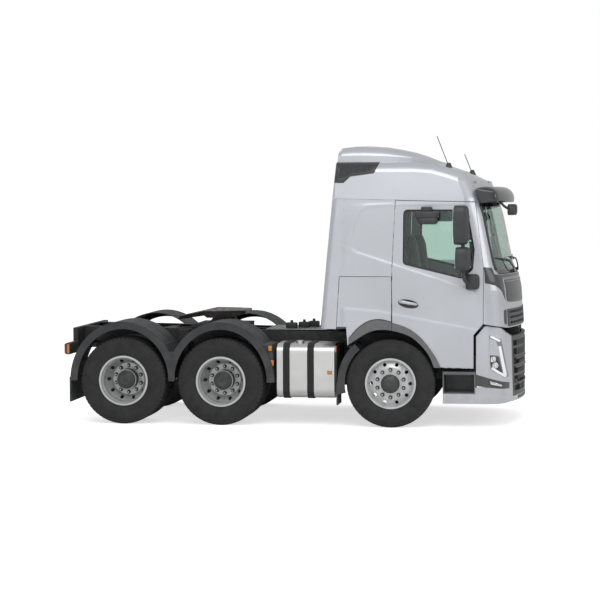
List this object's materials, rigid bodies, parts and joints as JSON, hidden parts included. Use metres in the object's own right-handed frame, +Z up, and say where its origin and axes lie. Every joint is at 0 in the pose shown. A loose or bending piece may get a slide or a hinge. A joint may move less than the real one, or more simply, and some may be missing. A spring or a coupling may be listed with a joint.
{
  "type": "three-axle semi truck tractor unit",
  "caption": "Cab-over tractor unit with sleeper cab, steered front axle, twin-wheel bogie, fifth wheel, fuel tank and a cab that tilts forward.",
  "frame": {"origin": "on the ground under the middle of the whole length, on the centre line", "axes": "+X forward, +Y to the left, +Z up"},
  "size_m": [5.683, 3.09, 3.5572],
  "materials": {
    "paint": "metallic gloss",
    "grey_plastic": "moulded",
    "dark_plastic": "moulded",
    "black_plastic": "moulded",
    "glass": "tinted",
    "lamp_glass": "clear",
    "tail_lamp": "lens",
    "tyre": "road rubber",
    "wheel_silver": "satin",
    "chassis": "satin",
    "cast": "rough",
    "tank": "brushed",
    "rubber": "matt",
    "fabric": "woven",
    "interior": "grained",
    "greased": "greased"
  },
  "bodies": {
    "chassis": {"frame_rails": "chassis", "cross_members": "chassis", "suspension": "chassis", "drive_axles": "chassis", "front_axle": "chassis", "engine": "cast", "fuel_tank": "tank", "tank_straps": "rubber", "side_boxes": "black_plastic", "mudguards": "dark_plastic", "tail_lamps": "tail_lamp", "fifth_wheel_base": "chassis", "bumper": "paint", "headlamp_panels": "paint", "headlamps": "lamp_glass", "lower_grille": "dark_plastic", "step_boxes": "grey_plastic", "fog_bands": "dark_plastic"},
    "cab": {"cab_floor": "interior", "cab_back_wall": "paint", "cab_sides": "paint", "cab_front": "paint", "cab_roof": "paint", "roof_deflector": "paint", "roof_vents": "dark_plastic", "windscreen": "glass", "arch_trims": "grey_plastic", "sun_visor": "dark_plastic", "dashboard": "interior", "seats": "fabric", "aerials": "black_plastic"},
    "front_lid": {"front_lid": "paint"},
    "fifth_wheel_plate": {"fifth_wheel_plate": "greased"},
    "track_rod": {"track_rod": "chassis"},
    "door_right": {"door_right": "paint", "door_glass_right": "glass", "door_fittings_right": "dark_plastic"},
    "locker_lid_right": {"locker_lid_right": "paint"},
    "knuckle_right": {"knuckle_right": "chassis"},
    "wheel_front_right": {"tyre_front_right": "tyre", "wheel_front_right": "wheel_silver"},
    "wheel_mid_right": {"tyre_mid_right": "tyre", "wheel_mid_right": "wheel_silver"},
    "wheel_rear_right": {"tyre_rear_right": "tyre", "wheel_rear_right": "wheel_silver"},
    "door_left": {"door_left": "paint", "door_glass_left": "glass", "door_fittings_left": "dark_plastic"},
    "locker_lid_left": {"locker_lid_left": "paint"},
    "knuckle_left": {"knuckle_left": "chassis"},
    "wheel_front_left": {"tyre_front_left": "tyre", "wheel_front_left": "wheel_silver"},
    "wheel_mid_left": {"tyre_mid_left": "tyre", "wheel_mid_left": "wheel_silver"},
    "wheel_rear_left": {"tyre_rear_left": "tyre", "wheel_rear_left": "wheel_silver"}
  },
  "joints": [
    {"name": "cab_tilt", "type": "hinge", "parent": "chassis", "child": "cab", "pos_m": [2.7445, 0, 1.15], "axis": [0, 1, 0], "range_deg": [0, 55]},
    {"name": "front_lid_hinge", "type": "hinge", "parent": "cab", "child": "front_lid", "pos_m": [2.7745, 0, 1.815], "axis": [0, -1, 0], "range_deg": [0, 75]},
    {"name": "fifth_wheel_tilt", "type": "hinge", "parent": "chassis", "child": "fifth_wheel_plate", "pos_m": [-1.0455, 0, 1.252], "axis": [0, 1, 0], "range_deg": [-15, 12]},
    {"name": "door_right_hinge", "type": "hinge", "parent": "cab", "child": "door_right", "pos_m": [2.3795, -1.251, 1.5], "axis": [0, 0, 1], "range_deg": [0, 70]},
    {"name": "locker_lid_right_hinge", "type": "hinge", "parent": "cab", "child": "locker_lid_right", "pos_m": [0.9545, -1.251, 1.842], "axis": [-1, 0, 0], "range_deg": [0, 80]},
    {"name": "steer_right", "type": "hinge", "parent": "chassis", "child": "knuckle_right", "pos_m": [1.2545, -0.925, 0.538], "axis": [0, 0, 1], "range_deg": [-40, 40]},
    {"name": "spin_front_right", "type": "hinge", "parent": "knuckle_right", "child": "wheel_front_right", "pos_m": [1.2545, -1.1, 0.538], "axis": [0, 1, 0], "continuous": true},
    {"name": "spin_mid_right", "type": "hinge", "parent": "chassis", "child": "wheel_mid_right", "pos_m": [-0.8455, -0.932, 0.538], "axis": [0, 1, 0], "continuous": true},
    {"name": "spin_rear_right", "type": "hinge", "parent": "chassis", "child": "wheel_rear_right", "pos_m": [-2.0755, -0.932, 0.538], "axis": [0, 1, 0], "continuous": true},
    {"name": "door_left_hinge", "type": "hinge", "parent": "cab", "child": "door_left", "pos_m": [2.3795, 1.251, 1.5], "axis": [0, 0, -1], "range_deg": [0, 70]},
    {"name": "locker_lid_left_hinge", "type": "hinge", "parent": "cab", "child": "locker_lid_left", "pos_m": [0.9545, 1.251, 1.842], "axis": [1, 0, 0], "range_deg": [0, 80]},
    {"name": "steer_left", "type": "hinge", "parent": "chassis", "child": "knuckle_left", "pos_m": [1.2545, 0.925, 0.538], "axis": [0, 0, 1], "range_deg": [-40, 40]},
    {"name": "spin_front_left", "type": "hinge", "parent": "knuckle_left", "child": "wheel_front_left", "pos_m": [1.2545, 1.1, 0.538], "axis": [0, 1, 0], "continuous": true},
    {"name": "spin_mid_left", "type": "hinge", "parent": "chassis", "child": "wheel_mid_left", "pos_m": [-0.8455, 0.932, 0.538], "axis": [0, 1, 0], "continuous": true},
    {"name": "spin_rear_left", "type": "hinge", "parent": "chassis", "child": "wheel_rear_left", "pos_m": [-2.0755, 0.932, 0.538], "axis": [0, 1, 0], "continuous": true},
    {"name": "track_rod_end", "type": "hinge", "parent": "knuckle_right", "child": "track_rod", "pos_m": [1.0645, -0.815, 0.4], "axis": [0, 0, 1], "range_deg": [-40, 40]}
  ],
  "couplings": [
    {"joint": "steer_left", "follows": "steer_right", "ratio": 1},
    {"joint": "track_rod_end", "follows": "steer_right", "ratio": -1}
  ]
}
